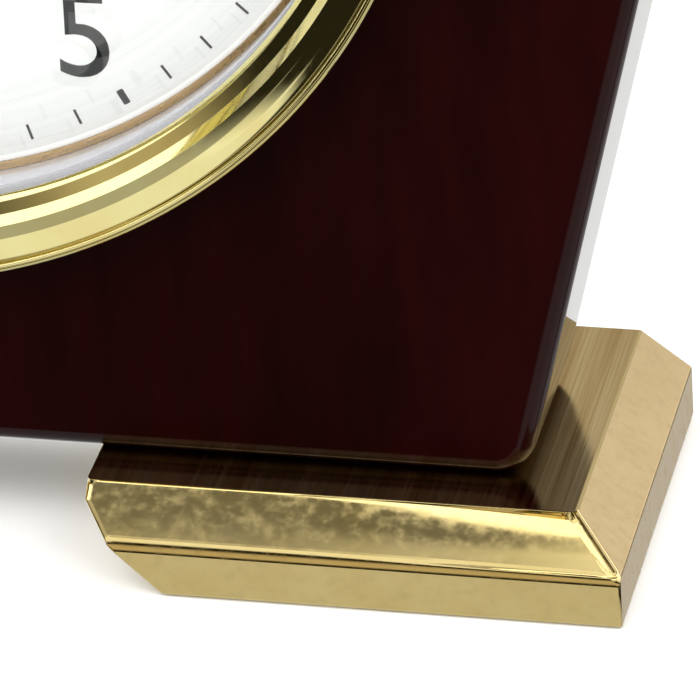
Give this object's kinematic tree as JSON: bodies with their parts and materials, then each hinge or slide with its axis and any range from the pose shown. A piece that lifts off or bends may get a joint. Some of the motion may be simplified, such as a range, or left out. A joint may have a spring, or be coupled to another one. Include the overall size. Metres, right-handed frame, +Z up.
{
  "type": "mantel clock",
  "caption": "Keystone-shaped gloss wood mantel clock with a round brass-bezelled quartz insert, leaning back slightly on two bevelled brass feet.",
  "frame": {"origin": "on the table, under the middle of the clock's bounding box", "axes": "+X to the right of someone facing the dial, +Y from the dial to the back, +Z up"},
  "size_m": [0.2028, 0.047, 0.1662],
  "materials": {
    "gloss_wood": "very dark red-brown mahogany under thick gloss lacquer",
    "polished_brass": "polished and lacquered brass",
    "brushed_brass": "brushed from front to back on top, polished bevels",
    "clear_glass": "clear mineral glass",
    "silvered_dial": "silver-white, fine spun brushing",
    "black_plastic": "black moulded plastic",
    "white_plastic": "natural white moulded plastic",
    "black_hands": "black-lacquered thin metal",
    "plated_steel": "bright plated",
    "green_felt": "dark green felt",
    "black_rubber": "matt black rubber",
    "copper_wire": "enamelled copper winding",
    "circuit_green": "green solder mask",
    "battery_skin": "printed foil sleeve with bright metal ends, no lettering"
  },
  "bodies": {
    "clock_case": {"case_body": "gloss_wood", "bezel": "polished_brass", "dial_ring": "polished_brass", "mounting_nut": "polished_brass", "foot_left": "brushed_brass", "foot_right": "brushed_brass", "lens": "clear_glass", "dial": "silvered_dial", "insert_housing": "black_plastic", "back_plate": "black_plastic", "movement_front_shell": "black_plastic", "movement_rear_shell": "black_plastic", "train_bridge": "white_plastic", "foot_screw_1": "plated_steel", "foot_screw_2": "plated_steel", "foot_screw_3": "plated_steel", "foot_screw_4": "plated_steel", "back_screw_1": "plated_steel", "back_screw_2": "plated_steel", "back_screw_3": "plated_steel", "back_screw_4": "plated_steel", "stator": "plated_steel", "quartz_crystal": "plated_steel", "contact_positive": "plated_steel", "contact_negative": "plated_steel", "foot_pad_left": "green_felt", "foot_pad_right": "green_felt", "lens_gasket": "black_rubber", "rubber_washer": "black_rubber", "coil": "copper_wire", "circuit_board": "circuit_green"},
    "minute": {"minute_hand": "black_hands", "cannon_pinion": "white_plastic"},
    "hour": {"hour_hand": "black_hands", "hour_wheel": "white_plastic"},
    "motion": {"motion_wheel": "white_plastic"},
    "setting": {"setting_knob": "black_plastic", "setting_stem": "white_plastic"},
    "second": {"second_hand": "black_hands", "second_wheel": "white_plastic"},
    "third": {"third_wheel": "white_plastic"},
    "rotor": {"rotor_shaft": "white_plastic", "rotor_magnet": "plated_steel"},
    "cell": {"battery": "battery_skin"}
  },
  "joints": [
    {"name": "minute_spin", "type": "hinge", "parent": "clock_case", "child": "minute", "pos_m": [0, 0.00252, 0.08795], "axis": [0, 0.9956, -0.0941], "continuous": true},
    {"name": "hour_spin", "type": "hinge", "parent": "clock_case", "child": "hour", "pos_m": [0, 0.00252, 0.08795], "axis": [0, 0.9956, -0.0941], "continuous": true},
    {"name": "motion_spin", "type": "hinge", "parent": "clock_case", "child": "motion", "pos_m": [-0.012, 0.00252, 0.08795], "axis": [0, 0.9956, -0.0941], "continuous": true},
    {"name": "setting_spin", "type": "hinge", "parent": "clock_case", "child": "setting", "pos_m": [-0.018, 0.0035, 0.0983], "axis": [0, 0.9956, -0.0941], "continuous": true},
    {"name": "second_spin", "type": "hinge", "parent": "clock_case", "child": "second", "pos_m": [0, 0.00252, 0.08795], "axis": [0, 0.9956, -0.0941], "continuous": true},
    {"name": "third_spin", "type": "hinge", "parent": "clock_case", "child": "third", "pos_m": [-0.00208, 0.00364, 0.09971], "axis": [0, 0.9956, -0.0941], "continuous": true},
    {"name": "rotor_spin", "type": "hinge", "parent": "clock_case", "child": "rotor", "pos_m": [0.00264, 0.00441, 0.10786], "axis": [0, 0.9956, -0.0941], "continuous": true},
    {"name": "battery_slide", "type": "slide", "parent": "clock_case", "child": "cell", "axis": [0, 0.9956, -0.0941], "range_m": [0, 0.03]}
  ],
  "couplings": [
    {"joint": "hour_spin", "follows": "minute_spin", "ratio": 0.083333},
    {"joint": "motion_spin", "follows": "minute_spin", "ratio": -0.33333},
    {"joint": "setting_spin", "follows": "minute_spin", "ratio": 1},
    {"joint": "third_spin", "follows": "second_spin", "ratio": -5},
    {"joint": "rotor_spin", "follows": "second_spin", "ratio": 30}
  ]
}
